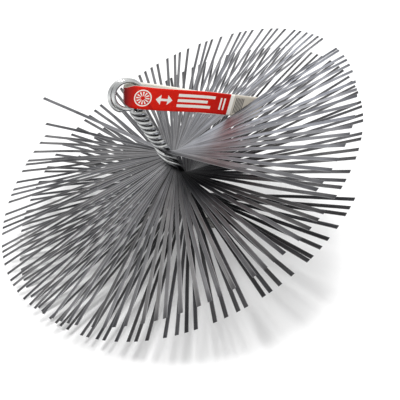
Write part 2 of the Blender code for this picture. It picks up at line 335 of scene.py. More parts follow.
def finish_mesh(name: str, bm: bmesh.types.BMesh) -> bpy.types.Mesh:
    """Turn a finished bmesh into a mesh.

    Args:
        name: The mesh's name.
        bm: The bmesh, which is freed.

    Returns:
        The mesh.
    """
    mesh = bpy.data.meshes.new(name)
    bm.to_mesh(mesh)
    bm.free()
    return mesh


def grow(name: str, seed_mesh: bpy.types.Mesh, graph: Graph, values: dict[str, object]) -> bpy.types.Object:
    """Run a Geometry Nodes tree on a mesh and keep the result as a plain mesh.

    Args:
        name: The piece's name.
        seed_mesh: The mesh that the tree starts from.
        graph: The tree's graph.
        values: Names of the tree's inputs, each with its value.

    Returns:
        The finished object, at the origin and without modifiers.
    """
    seed = new_object(f"{name}_seed", seed_mesh)
    modifier = seed.modifiers.new("grow", "NODES")
    modifier.node_group = graph.tree
    for item in graph.tree.interface.items_tree:
        if item.in_out == "INPUT" and item.name in values:
            modifier[item.identifier] = values[item.name]
    depsgraph = bpy.context.evaluated_depsgraph_get()
    mesh = bpy.data.meshes.new_from_object(seed.evaluated_get(depsgraph), depsgraph=depsgraph)
    mesh.name = name
    bpy.data.objects.remove(seed)
    bpy.data.meshes.remove(seed_mesh)
    return new_object(name, mesh)


def dress(piece: bpy.types.Object, body: Body, nodes: Iterable[str]) -> bpy.types.Object:
    """Put a piece on its body, in the place of its solids.

    Args:
        piece: The finished piece.
        body: The body that it moves with.
        nodes: The solids that it stands for.

    Returns:
        The piece.
    """
    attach(piece, body.value)
    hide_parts(*nodes)
    LOG.info("%s: %d faces on %s", piece.name, len(piece.data.polygons), body.value)
    return piece


@dataclass(frozen=True)
class SpringSteel:
    """Cold rolled strip, blue grey with rolling streaks and oil patches, with painted shade, sheen and highlights.

    It reads the numbers that the strips carry, from 0 to 1: strip_along from the stem to the tip, strip_depth
    from the stack's top to its foot, a strip_chance for each half, and each half's shares of painted sheen and of
    painted shade under the step and on the left. Only strip_across, over the strip's width, goes from -1 to 1.
    """

    cool: Colour = (0.170, 0.176, 0.198)
    warm: Colour = (0.190, 0.186, 0.186)
    # Near black, for the oil patches and for the painted shade.
    oil_and_shade_colour: Colour = (0.012, 0.012, 0.016)
    # Lighter colour painted along the strips' edges as a highlight.
    edge: Colour = (0.42, 0.42, 0.43)
    streak_length: float = 5.0
    streaks_across: float = 4.0
    strips_apart: float = 37.0
    shades_apart: float = 7.31
    lightness_apart: float = 13.7
    streak_grain: Grain = Grain(1.0, 4.0, 0.6)
    blotch_grain: Grain = Grain(2.0, 2.0)
    patch_grain: Grain = Grain(34.0)
    strip_warmth: float = 0.5
    # The painted sheen makes the upper strips of the far side cooler and lighter.
    clean_warmth: Span = Span(0.0, 1.0, 0.5, 0.0)
    clean_tone: Span = Span(0.0, 1.0, 0.84, 1.50)
    strip_tone: Span = Span(0.0, 1.0, 0.62, 1.40)
    streak_tone: Span = Span(0.3, 0.7, 0.70, 1.25)
    blotch_tone: Span = Span(0.3, 0.7, 0.85, 1.15)
    # Painted shade near the stem, under the step of the fan.
    stem_shade: Span = Span(0.28, 0.72, 1.0, 0.0)
    patch_film: Span = Span(0.52, 0.75, 0.0, 0.45)
    # Painted shade low in the stack.
    foot_shade: Span = Span(0.40, 1.0, 0.0, 0.55)
    # Painted shade at the strips' tips.
    tip_shade: Span = Span(0.93, 1.0, 0.0, 0.55)
    # Patchy painted shade in a band on the fan's left side.
    left_shade_inner: Span = Span(0.35, 0.60, 0.0, 0.75)
    left_shade_outer: Span = Span(0.70, 0.92, 1.0, 0.3)
    left_shade_blotches: Span = Span(0.35, 0.60, 0.35, 1.0)
    # Painted highlight on the strips' edges, fading where oil or painted shade lies thick.
    edge_highlight: Span = Span(0.70, 1.0, 0.0, 0.8)
    highlight_fade: Span = Span(0.3, 0.9, 1.0, 0.1)
    roughness: Span = Span(0.3, 0.7, 0.28, 0.50)
    scratches: Relief = Relief(0.35, 0.00003)

    def tone(self, graph: Graph, streaks: Socket, blotches: Socket) -> Socket:
        """Work out the colour of the bare steel, with a painted sheen on the upper strips of the far side.

        Args:
            graph: The material's graph.
            streaks: The pattern of rolling streaks.
            blotches: The pattern of broad blotches.

        Returns:
            The colour.
        """
        chance = graph.attribute("strip_chance")
        # The share of painted sheen, which lightens and cools the upper strips of the far side.
        clean = graph.attribute("strip_clean")
        shade = graph.math("FRACT", graph.product(chance, self.shades_apart))
        lightness = graph.math("FRACT", graph.product(chance, self.lightness_apart))
        own_warmth = graph.product(shade, self.strip_warmth)
        warmth = graph.math("ADD", own_warmth, graph.ramp(clean, self.clean_warmth))
        tone = graph.mix(warmth, self.cool, self.warm)
        tone = graph.shade(tone, clean, self.clean_tone)
        tone = graph.shade(tone, lightness, self.strip_tone)
        tone = graph.shade(tone, streaks, self.streak_tone)
        return graph.shade(tone, blotches, self.blotch_tone)

    def oil_and_shade(self, graph: Graph, along: Socket, blotches: Socket) -> Socket:
        """Work out how dark the steel gets: oil in patches, and painted shade by the stem, low down, at the tips
        and on the left.

        Args:
            graph: The material's graph.
            along: The place along the strip.
            blotches: The pattern of broad blotches.

        Returns:
            The share of oil and painted shade, from 0 to 1.
        """
        patches = graph.noise(graph.object_place(), self.patch_grain)
        # Real oil patches, then painted shade by the stem under the step, low in the stack, at the tips and on the
        # left.
        return graph.highest(
            graph.ramp(patches, self.patch_film),
            graph.product(graph.ramp(along, self.stem_shade), graph.attribute("strip_step_shade")),
            graph.ramp(graph.attribute("strip_depth"), self.foot_shade),
            graph.ramp(along, self.tip_shade),
            graph.product(
                graph.ramp(along, self.left_shade_inner),
                graph.ramp(along, self.left_shade_outer),
                graph.attribute("strip_left_shade"),
                graph.ramp(blotches, self.left_shade_blotches),
            ),
        )

    def material(self) -> bpy.types.Material:
        """Build the material.

        Returns:
            The material.
        """
        material, graph, shader = new_material("rolled spring steel")
        along = graph.attribute("strip_along")
        across = graph.attribute("strip_across")
        apart = graph.product(graph.attribute("strip_chance"), self.strips_apart)
        run = graph.product(along, self.streak_length)
        streak_place = graph.join(run, graph.product(across, self.streaks_across), apart)
        streaks = graph.noise(streak_place, self.streak_grain)
        blotches = graph.noise(graph.join(run, 0.0, apart), self.blotch_grain)
        # The steel darkens under oil patches and under painted shade.
        oil_and_shade = self.oil_and_shade(graph, along, blotches)
        oiled_and_shaded = graph.mix(oil_and_shade, self.tone(graph, streaks, blotches), self.oil_and_shade_colour)
        # A painted highlight along the strips' edges, fading under oil and painted shade.
        highlighted = graph.ramp(graph.math("ABSOLUTE", across), self.edge_highlight)
        highlighted = graph.product(highlighted, graph.ramp(oil_and_shade, self.highlight_fade))
        graph.feed(shader, {
            "Base Color": graph.mix(highlighted, oiled_and_shaded, self.edge),
            "Roughness": graph.ramp(streaks, self.roughness),
            "Normal": graph.bump(streaks, self.scratches),
            "Metallic": 1.0,
        })
        return material


@dataclass(frozen=True)
class ZincWire:
    """Bright zinc plating on drawn wire, with a cloudy bloom, die marks and painted shade between the twisted
    legs.

    It reads wire_run, the length along the wire, and stem_distance, the distance from the stem's axis. Both
    are in metres.
    """

    bright: Colour = (0.70, 0.71, 0.70)
    clouded: Colour = (0.30, 0.31, 0.32)
    # Near black painted shade between the twisted legs.
    crevice_shade_colour: Colour = (0.022, 0.022, 0.022)
    cloud_grain: Grain = Grain(150.0, 4.0)
    streak_grain: Grain = Grain(110.0)
    cloudiness: Span = Span(0.35, 0.68, 0.0, 0.85)
    streak_tone: Span = Span(0.35, 0.65, 0.70, 1.1)
    crevice: Span = Span(0.0031, 0.0040, 0.95, 0.0)
    roughness: Span = Span(0.3, 0.7, 0.12, 0.32)
    streak_height: float = 0.6
    cloud_height: float = 0.4
    marks: Relief = Relief(0.3, 0.00005)

    def material(self) -> bpy.types.Material:
        """Build the material.

        Returns:
            The material.
        """
        material, graph, shader = new_material("bright zinc plate")
        clouds = graph.noise(graph.object_place(), self.cloud_grain)
        streaks = graph.noise(graph.join(graph.attribute("wire_run"), 0.0, 0.0), self.streak_grain)
        plated = graph.mix(graph.ramp(clouds, self.cloudiness), self.bright, self.clouded)
        plated = graph.shade(plated, streaks, self.streak_tone)
        # Painted shade in the crevices between the legs, by distance from the stem's axis.
        recess_shade = graph.ramp(graph.attribute("stem_distance"), self.crevice)
        heights = graph.product(streaks, self.streak_height), graph.product(clouds, self.cloud_height)
        graph.feed(shader, {
            "Base Color": graph.mix(recess_shade, plated, self.crevice_shade_colour),
            "Roughness": graph.ramp(clouds, self.roughness),
            "Normal": graph.bump(graph.math("ADD", *heights), self.marks),
            "Metallic": 1.0,
        })
        return material


@dataclass(frozen=True)
class TurnedSteel:
    """Turned and plated steel: rings round the axis, clouds in the plating and painted shade in the thread's
    roots.

    It reads turned_run, the height and the radius added together, in metres, and thread_root, which is 1 at
    the bottom of the thread.
    """

    bright: Colour = (0.56, 0.56, 0.54)
    dark: Colour = (0.22, 0.22, 0.21)
    # Near black painted shade in the thread's roots.
    root_shade_colour: Colour = (0.040, 0.036, 0.030)
    cloud_grain: Grain = Grain(180.0, 4.0)
    ring_grain: Grain = Grain(5200.0, 2.0)
    cloudiness: Span = Span(0.35, 0.75, 0.0, 0.7)
    root_shade: Span = Span(0.25, 0.9, 0.0, 0.85)
    roughness: Span = Span(0.3, 0.7, 0.22, 0.42)
    ring_relief: Relief = Relief(0.4, 0.00003)

    def material(self) -> bpy.types.Material:
        """Build the material.

        Returns:
            The material.
        """
        material, graph, shader = new_material("turned plated steel")
        clouds = graph.noise(graph.object_place(), self.cloud_grain)
        rings = graph.noise(graph.join(graph.attribute("turned_run"), 0.0, 0.0), self.ring_grain)
        plated = graph.mix(graph.ramp(clouds, self.cloudiness), self.bright, self.dark)
        # Painted shade, deepest at the bottom of the thread.
        recess_shade = graph.ramp(graph.attribute("thread_root"), self.root_shade)
        graph.feed(shader, {
            "Base Color": graph.mix(recess_shade, plated, self.root_shade_colour),
            "Roughness": graph.ramp(rings, self.roughness),
            "Normal": graph.bump(rings, self.ring_relief),
            "Metallic": 1.0,
        })
        return material


@dataclass(frozen=True)
class PrintedCard:
    """Glossy card printed red outside: a plain brush sign, a width arrow and blank rules, with no words.

    Places on the card are in millimetres, x along it from the fold and y across it from its middle.
    """

    red: Colour = (0.80, 0.014, 0.003)
    # Deeper red, for clouds in the ink and for painted shade towards the far end and at the crease.
    deep_red_and_shade: Colour = (0.46, 0.005, 0.003)
    # Painted shade at the fold.
    maroon: Colour = (0.10, 0.002, 0.005)
    white: Colour = (0.97, 0.94, 0.87)
    # Greyed white of the label end, darkened as painted shade among the strips.
    label: Colour = (0.62, 0.57, 0.49)
    grey: Colour = (0.07, 0.07, 0.075)
    card: Colour = (0.92, 0.88, 0.76)
    gloss: float = 0.16
    # Painted shade deepens the red from here to the red's end.
    far_shade_start: float = 42.0
    far_shade_share: float = 0.8
    fold_shade: Span = Span(3.0, 9.5, 0.85, 0.0)
    ink_clouds: Span = Span(0.3, 0.7, 0.0, 0.35)
    # Where the painted shade of the crease lies.
    crease_slant: float = 0.8
    crease_near: Span = Span(11.0, 13.5, 0.0, 0.75)
    crease_far: Span = Span(15.2, 15.6, 1.0, 0.0)
    crease_top: Span = Span(-1.0, 1.5, 1.0, 0.0)
    red_end: float = 70.0
    label_start: float = 72.5
    sign_place: float = 12.9
    sign_radius: float = 4.0
    sign_rim_gap: float = 0.6
    sign_line: float = 0.75
    sign_hub: float = 1.3
    sign_spokes: float = 12.0
    spoke_edge: float = 0.1
    arrow_start: float = 20.8
    arrow_end: float = 31.5
    arrow_half_width: float = 0.75
    arrow_head: float = 3.2
    arrow_point: float = 1.0
    rules_start: float = 35.0
    rule_ends: tuple[float, float, float] = (60.0, 55.5, 58.0)
    rule_places: tuple[float, float, float] = (3.6, 0.2, -3.2)
    rule_half_width: float = 0.95
    bar_places: Point = (64.2, 66.6)
    bar_half_width: float = 0.55
    bar_half_length: float = 4.0
    ticks_start: float = 74.0
    ticks_end: float = 80.0
    tick_step: float = 1.0
    tick_share: float = 0.55
    tick_half_length: float = 5.2
    cloud_grain: Grain = Grain(0.6, 4.0)
    speck_grain: Grain = Grain(14.0, 2.0)
    worn_fold: float = 1.5
    worn_specks: float = 0.64
    scuff_clouds: float = 0.4
    scuff_level: float = 1.02
    roughness: Span = Span(0.3, 0.7, 0.38, 0.52)
    speck_relief: Relief = Relief(0.15, 0.00005)
    fibre_grain: Grain = Grain(2400.0, 3.0)
    stain_grain: Grain = Grain(120.0, 2.0)
    stains: Span = Span(0.35, 0.75, 0.0, 0.5)
    bare_roughness: Span = Span(0.3, 0.7, 0.65, 0.85)
    fibre_relief: Relief = Relief(0.3, 0.00003)

    def sign(self, graph: Graph, x: Socket, y: Socket) -> Socket:
        """Draw the round brush sign: a bare hub, spokes and a rim.

        Args:
            graph: The material's graph.
            x: The place along the card.
            y: The place across it.

        Returns:
            The sign's mask.
        """
        across = graph.math("SUBTRACT", x, self.sign_place)
        radius = graph.math("SQRT", graph.math("ADD", graph.product(across, across), graph.product(y, y)))
        turns = graph.product(graph.math("ARCTAN2", y, across), self.sign_spokes)
        spokes = graph.above(graph.math("COSINE", turns), self.spoke_edge)
        spoked = graph.product(spokes, graph.between(radius, self.sign_hub, self.sign_radius))
        rim_start = self.sign_radius + self.sign_rim_gap
        return graph.highest(spoked, graph.between(radius, rim_start, rim_start + self.sign_line))

    def arrow(self, graph: Graph, x: Socket, y: Socket) -> Socket:
        """Draw the double-ended width arrow.

        Args:
            graph: The material's graph.
            x: The place along the card.
            y: The place across it.

        Returns:
            The arrow's mask.
        """
        middle = (self.arrow_start + self.arrow_end) / 2
        reach = (self.arrow_end - self.arrow_start) / 2
        height = graph.math("ABSOLUTE", y)
        out = graph.math("ABSOLUTE", graph.math("SUBTRACT", x, middle))
        along = graph.below(out, reach - self.arrow_point)
        line = graph.product(graph.below(height, self.arrow_half_width), along)
        slope = graph.math("SUBTRACT", reach, out)
        head = graph.product(graph.below(height, slope), graph.between(out, reach - self.arrow_head, reach))
        return graph.highest(line, head)

    def rules(self, graph: Graph, x: Socket, y: Socket) -> Socket:
        """Draw the three blank rules.

        Args:
            graph: The material's graph.
            x: The place along the card.
            y: The place across it.

        Returns:
            The rules' mask.
        """
        return graph.highest(*(
            graph.product(graph.near(y, place, self.rule_half_width), graph.between(x, self.rules_start, end))
            for end, place in zip(self.rule_ends, self.rule_places)
        ))

    def bars(self, graph: Graph, x: Socket, y: Socket) -> Socket:
        """Draw the two bars across the red's far end."""
        bars = graph.highest(*(graph.near(x, place, self.bar_half_width) for place in self.bar_places))
        return graph.product(bars, graph.near(y, 0.0, self.bar_half_length))

    def ticks(self, graph: Graph, x: Socket, y: Socket) -> Socket:
        """Draw the evenly spaced ticks on the white end.

        Args:
            graph: The material's graph.
            x: The place along the card.
            y: The place across it.

        Returns:
            The ticks' mask.
        """
        step = graph.math("FRACT", graph.math("DIVIDE", x, self.tick_step))
        return graph.product(
            graph.below(step, self.tick_share),
            graph.near(y, 0.0, self.tick_half_length),
            graph.between(x, self.ticks_start, self.ticks_end),
        )

    def ink(self, graph: Graph, x: Socket, y: Socket, clouds: Socket) -> Socket:
        """Work out the red of the print, clouded, with painted shade that deepens it towards its far end and at a
        crease and darkens it at the fold.

        Args:
            graph: The material's graph.
            x: The place along the card.
            y: The place across it.
            clouds: The pattern of faint clouds.

        Returns:
            The colour.
        """
        # Painted shade: the red deepens towards the far end, which lies among the strips.
        far_shade = graph.ramp(x, Span(self.far_shade_start, self.red_end, 0.0, self.far_shade_share))
        # Painted shade on a creased facet: a slanted band across the lower part of the card.
        slanted = graph.math("ADD", x, graph.product(y, self.crease_slant))
        near_side = graph.ramp(slanted, self.crease_near)
        far_side = graph.ramp(slanted, self.crease_far)
        crease_shade = graph.product(near_side, far_side, graph.ramp(y, self.crease_top))
        deep_ink_and_shade = graph.highest(far_shade, graph.ramp(clouds, self.ink_clouds), crease_shade)
        red = graph.mix(deep_ink_and_shade, self.red, self.deep_red_and_shade)
        # Painted shade: the print turns maroon near the fold.
        return graph.mix(graph.ramp(x, self.fold_shade), red, self.maroon)

    def worn(self, graph: Graph, x: Socket, clouds: Socket, specks: Socket) -> Socket:
        """Find where the ink has come off, in specks on the fold and in scuffs.

        Args:
            graph: The material's graph.
            x: The place along the card.
            clouds: The pattern of faint clouds.
            specks: The pattern of fine specks.

        Returns:
            The mask of the bare places.
        """
        cracked = graph.product(graph.below(x, self.worn_fold), graph.above(specks, self.worn_specks))
        scuffing = graph.math("ADD", specks, graph.product(clouds, self.scuff_clouds))
        return graph.highest(cracked, graph.above(scuffing, self.scuff_level))

    def outside(self, length: float, width: float) -> bpy.types.Material:
        """Build the printed side.

        Args:
            length: Length of card that the UV map's width stands for, in millimetres.
            width: Width of card that the UV map's height stands for, in millimetres.

        Returns:
            The material.
        """
        material, graph, shader = new_material("printed card")
        uv = graph.split(graph.add("ShaderNodeUVMap", uv_map="card").outputs[0])
        signed = graph.product(graph.math("SUBTRACT", uv[0], UV_MIDDLE), length)
        x = graph.math("ABSOLUTE", signed)
        y = graph.product(graph.math("SUBTRACT", uv[1], UV_MIDDLE), width)
        place = graph.join(signed, y, 0.0)
        clouds = graph.noise(place, self.cloud_grain)
        specks = graph.noise(place, self.speck_grain)
        bare = graph.highest(
            self.sign(graph, x, y),
            self.arrow(graph, x, y),
            self.rules(graph, x, y),
            self.bars(graph, x, y),
            graph.above(x, self.red_end),
            self.worn(graph, x, clouds, specks),
        )
        printed = graph.mix(bare, self.ink(graph, x, y, clouds), self.white)
        # The label end is painted a greyed white, as painted shade among the strips.
        label_shaded = graph.mix(graph.above(x, self.label_start), printed, self.label)
        graph.feed(shader, {
            "Base Color": graph.mix(self.ticks(graph, x, y), label_shaded, self.grey),
            "Roughness": graph.ramp(clouds, self.roughness),
            "Normal": graph.bump(specks, self.speck_relief),
            "Specular IOR Level": self.gloss,
        })
        return material

    def inside(self) -> bpy.types.Material:
        """Build the bare side and the cut edges.

        Returns:
            The material.
        """
        material, graph, shader = new_material("bare card")
        place = graph.object_place()
        fibres = graph.noise(place, self.fibre_grain)
        stained = graph.ramp(graph.noise(place, self.stain_grain), self.stains)
        graph.feed(shader, {
            "Base Color": graph.mix(stained, self.white, self.card),
            "Roughness": graph.ramp(fibres, self.bare_roughness),
            "Normal": graph.bump(fibres, self.fibre_relief),
        })
        return material


@dataclass(frozen=True)
class StemAxes:
    """The brush's own axes, from the frame: Z up the stem, X in the eye's plane, zero at the first strip."""

    eye_height: float = 0.0471
    pivot_shift: float = -0.00065

    def pivot(self) -> Vector:
        """Return the middle of the eye, which the tag swings round, in the brush's own axes."""
        return Vector((self.pivot_shift, 0, self.eye_height))

    def matrix(self) -> Matrix:
        """Find the brush's own axes, from the tag's joint and the shoulder's mount.

        Returns:
            The matrix from the brush's own axes to the world.
        """
        joint = frame["joints"][0]
        shoulder = frame["record"]["mounts"][0]
        up = -Vector(shoulder["axis"]).normalized()
        across = Vector(joint["axis"])
        across = (across - up * across.dot(up)).normalized()
        turned = Matrix((across.cross(up), across, up)).transposed().to_4x4()
        return Matrix.Translation(Vector(joint["pos_m"]) - turned.to_3x3() @ self.pivot()) @ turned


@dataclass(frozen=True)
class HalfStrip:
    """Half of a strip in the brush's own axes, with its place in the stack: 0 at the top, 1 at the foot."""

    root: Vector
    tip: Vector
    depth: float

    def facing(self, side: float) -> float:
        """Say how nearly the half points to a side: 1 straight at it, -1 straight away from it."""
        return math.cos(math.atan2(self.tip.y, self.tip.x) - side)


@dataclass
class StripFan:
    """The flat strips, each made of two halves that run from the stem to their tips.

    A side is an angle round the stem. Painted shade darkens the strips under the step on the right and in a patchy
    band on the left, and a painted sheen lightens the upper strips of the far side.
    """

    axes: Matrix
    width: float = 0.0024
    thickness: float = 0.00028
    strip_gap: float = 0.00006
    pack_gap: float = 0.0003
    half_length: float = 0.125
    edge_radius: float = 0.00012
    edge_steps: int = 2
    run_steps: int = 15
    bend: float = 0.0009
    bow_run: Span = Span(0.4, 1.0, 0.0, math.pi)
    bow_way: Span = Span(0.0, 1.0, -1.0, 1.0)
    tips_near: float = 0.0019
    tips_from: float = 0.95
    bright_depth: float = 0.14
    cover_start: float = 0.28
    cover_end: float = 0.42
    # Where the painted sheen lies.
    clean_side: float = math.radians(205.0)
    clean_reach: Point = (-0.3, 0.3)
    # Where the painted shade under the step lies.
    step_side: float = math.radians(105.0)
    step_reach: float = 0.80
    open_share: float = 0.30
    # Where the painted shade on the left lies.
    left_shade_side: float = math.radians(338.0)
    left_shade_reach: Point = (0.55, 0.775)
    seed: int = 5

    def pack_names(self) -> list[str]:
        """Return the names of the strip solids, from the top down."""
        return sorted(name for name in frame["nodes"] if name.startswith("strips_"))

    def tips(self, node: str) -> list[Vector]:
        """Find the tips of one pack, from the small faces that close its strips.

        Args:
            node: The pack's solid.

        Returns:
            The middle of each strip end, in the brush's own axes.
        """
        inward = self.axes.inverted()
        mesh = frame["nodes"][node].data
        found: list[list[Vector]] = []
        for polygon in mesh.polygons:
            corners = [inward @ mesh.vertices[index].co for index in polygon.vertices]
            if min(corner.xy.length for corner in corners) < self.tips_from * self.half_length:
                continue
            here = mean(corners)
            near = [group for group in found if (mean(group) - here).length < self.tips_near]
            if near:
                near[0].extend(corners)
            else:
                found.append(corners)
        return [self.middle(group) for group in found]

    def middle(self, corners: list[Vector]) -> Vector:
        """Find the middle of the box round some corners.

        Args:
            corners: The corners.

        Returns:
            The middle.
        """
        low = Vector(min(corner[axis] for corner in corners) for axis in range(3))
        high = Vector(max(corner[axis] for corner in corners) for axis in range(3))
        return (low + high) / 2

    def sorted_sides(self, tips: list[Vector]) -> list[list[Vector]]:
        """Share a pack's tips between its two sides.

        Args:
            tips: The tips of the pack.

        Returns:
            The tips of either side, each from its highest strip to its lowest.
        """
        first = math.atan2(tips[0].y, tips[0].x)
        sides: list[list[tuple[float, Vector]]] = [[], []]
        for tip in tips:
            offset = (math.atan2(tip.y, tip.x) - first + math.pi / 2) % (2 * math.pi) - math.pi / 2
            side = 0 if offset < math.pi / 2 else 1
            sides[side].append((offset, tip))
        return [[tip for _, tip in sorted(side, key=lambda pair: pair[0])] for side in sides]

    def halves(self) -> list[HalfStrip]:
        """Find the half strips.

        Returns:
            The halves, from the top pack down.
        """
        ends = []
        for number, node in enumerate(self.pack_names()):
            sides = self.sorted_sides(self.tips(node))
            count = len(sides[0])
            pack_height = count * self.thickness + (count - 1) * self.strip_gap
            top = -number * (pack_height + self.pack_gap) - self.thickness / 2
            for side in sides:
                for step, tip in enumerate(side):
                    ends.append((top - step * (self.thickness + self.strip_gap), tip))
        lowest = min(height for height, _ in ends)
        return [HalfStrip(Vector((0, 0, height)), tip, height / lowest) for height, tip in ends]

    def step_shade(self, half: HalfStrip) -> float:
        """Say what share of painted shade a half takes near the stem: most of it under the step on the fan's
        right.
        """
        covered = progress(half.depth, self.cover_start, self.cover_end)
        return covered * (1.0 if half.facing(self.step_side) > self.step_reach else self.open_share)

    def clean(self, half: HalfStrip) -> float:
        """Say what share of painted sheen a half takes: most of it high on the fan's far side."""
        high = progress(half.depth, self.cover_end, self.bright_depth)
        return high * progress(half.facing(self.clean_side), *self.clean_reach)

    def left_shade(self, half: HalfStrip) -> float:
        """Say what share a half takes of the patchy painted shade on the fan's left side."""
        return progress(half.facing(self.left_shade_side), *self.left_shade_reach)

    def half_turn(self, half: HalfStrip) -> Matrix:
        """Find the turn that lays a half strip in the world.

        Args:
            half: The half strip.

        Returns:
            The turn, with X along the half and Z up from its flat side.
        """
        turned = self.axes.to_3x3()
        along = turned @ (half.tip - half.root).normalized()
        sideways = turned.col[2].cross(along).normalized()
        return Matrix((along, sideways, along.cross(sideways))).transposed()

    def seed_mesh(self) -> bpy.types.Mesh:
        """Build a point for every half strip, with its turn, its upward way and its numbers.

        Returns:
            The mesh of points.
        """
        halves = self.halves()
        turns = [self.half_turn(half) for half in halves]
        mesh = bpy.data.meshes.new("strip_roots")
        mesh.from_pydata([self.axes @ half.root for half in halves], [], [])
        vectors = {
            "strip_turn": [Vector(turn.to_euler()) for turn in turns],
            "strip_up": [turn.col[2] for turn in turns],
        }
        for name, values in vectors.items():
            layer = mesh.attributes.new(name, "FLOAT_VECTOR", "POINT")
            layer.data.foreach_set("vector", [number for vector in values for number in vector])
        chance = random.Random(self.seed)
        numbers = {
            "strip_chance": [chance.random() for _ in halves],
            "strip_depth": [half.depth for half in halves],
            # Shares of painted shade under the step, of painted sheen and of painted shade on the left.
            "strip_step_shade": [self.step_shade(half) for half in halves],
            "strip_clean": [self.clean(half) for half in halves],
            "strip_left_shade": [self.left_shade(half) for half in halves],
        }
        for name, values in numbers.items():
            mesh.attributes.new(name, "FLOAT", "POINT").data.foreach_set("value", values)
        return mesh

    def strand(self, graph: Graph, sizes: bpy.types.NodeOutputs) -> Socket:
        """Roll one half strip along X, with its places along and across on its points.

        Args:
            graph: The tree's graph.
            sizes: The tree's inputs.

        Returns:
            The half strip.
        """
        end = graph.join(sizes["Half Length"], 0.0, 0.0)
        line = graph.result("GeometryNodeCurvePrimitiveLine", {"End": end})
        stepping = {"Curve": line, "Count": sizes["Run Steps"]}
        run = graph.result("GeometryNodeResampleCurve", stepping, mode="COUNT")
        share = graph.add("GeometryNodeSplineParameter").outputs["Factor"]
        marked = graph.store(run, "strip_along", share)
        outline = {"Width": sizes["Width"], "Height": sizes["Thickness"]}
        section = graph.result("GeometryNodeCurvePrimitiveQuadrilateral", outline)
        corners = {"Curve": section, "Count": sizes["Edge Steps"], "Radius": sizes["Edge Radius"]}
        rounded = graph.result("GeometryNodeFilletCurve", corners, mode="POLY")
        sideways = graph.split(graph.result("GeometryNodeInputPosition"))[1]
        across = graph.math("DIVIDE", sideways, graph.math("DIVIDE", sizes["Width"], 2.0))
        return graph.store(graph.sweep(marked, rounded), "strip_across", across)

    def bow(self, graph: Graph, bend: Socket) -> Socket:
        """Work out the small bow of each strip's outer part, up on some and down on others.

        Args:
            graph: The tree's graph.
            bend: The most that a strip may bow.

        Returns:
            How far each point moves.
        """
        wave = graph.math("SINE", graph.ramp(graph.recall("strip_along"), self.bow_run))
        way = graph.ramp(graph.recall("strip_chance"), self.bow_way)
        amount = graph.product(wave, wave, way, bend)
        inputs = {0: graph.recall("strip_up", "FLOAT_VECTOR"), "Scale": amount}
        return graph.result("ShaderNodeVectorMath", inputs, operation="SCALE")

    def tree(self, values: dict[str, object]) -> Graph:
        """Build the tree that turns each point into a rolled half strip, and keeps them all above the floor.

        Args:
            values: The tree's inputs.

        Returns:
            The tree's graph.
        """
        graph, sizes = new_tree("fan of rolled strips", values)
        strand = self.strand(graph, sizes)
        turn = graph.result("FunctionNodeEulerToRotation", {0: graph.recall("strip_turn", "FLOAT_VECTOR")})
        copying = {"Points": sizes["Geometry"], "Instance": strand, "Rotation": turn}
        copies = graph.result("GeometryNodeInstanceOnPoints", copying)
        real = graph.result("GeometryNodeRealizeInstances", {"Geometry": copies})
        bending = {"Geometry": real, "Offset": self.bow(graph, sizes["Bend"])}
        bent = graph.result("GeometryNodeSetPosition", bending)
        place = graph.split(graph.result("GeometryNodeInputPosition"))
        standing = graph.join(place[0], place[1], graph.highest(place[2], 0.0))
        lifted = graph.result("GeometryNodeSetPosition", {"Geometry": bent, "Position": standing})
        close_tree(graph, lifted, sizes["Material"])
        return graph

    def build(self, finish: SpringSteel) -> bpy.types.Object:
        """Build all the strips as one piece.

        Args:
            finish: The strips' finish.

        Returns:
            The piece.
        """
        values = {
            "Half Length": self.half_length,
            "Width": self.width,
            "Thickness": self.thickness,
            "Edge Radius": self.edge_radius,
            "Bend": self.bend,
            "Run Steps": self.run_steps,
            "Edge Steps": self.edge_steps,
            "Material": finish.material(),
        }
        piece = grow("steel_strips", self.seed_mesh(), self.tree(values), values)
        return dress(piece, Body.BRUSH, self.pack_names())


@dataclass(frozen=True)
class EyeRing:
    """One wire's ring in the eye, and the angles from its bottom at which the two legs leave it."""

    side: int
    radius: float
    shift: float
    rise: float
    right_open: float
    left_open: float


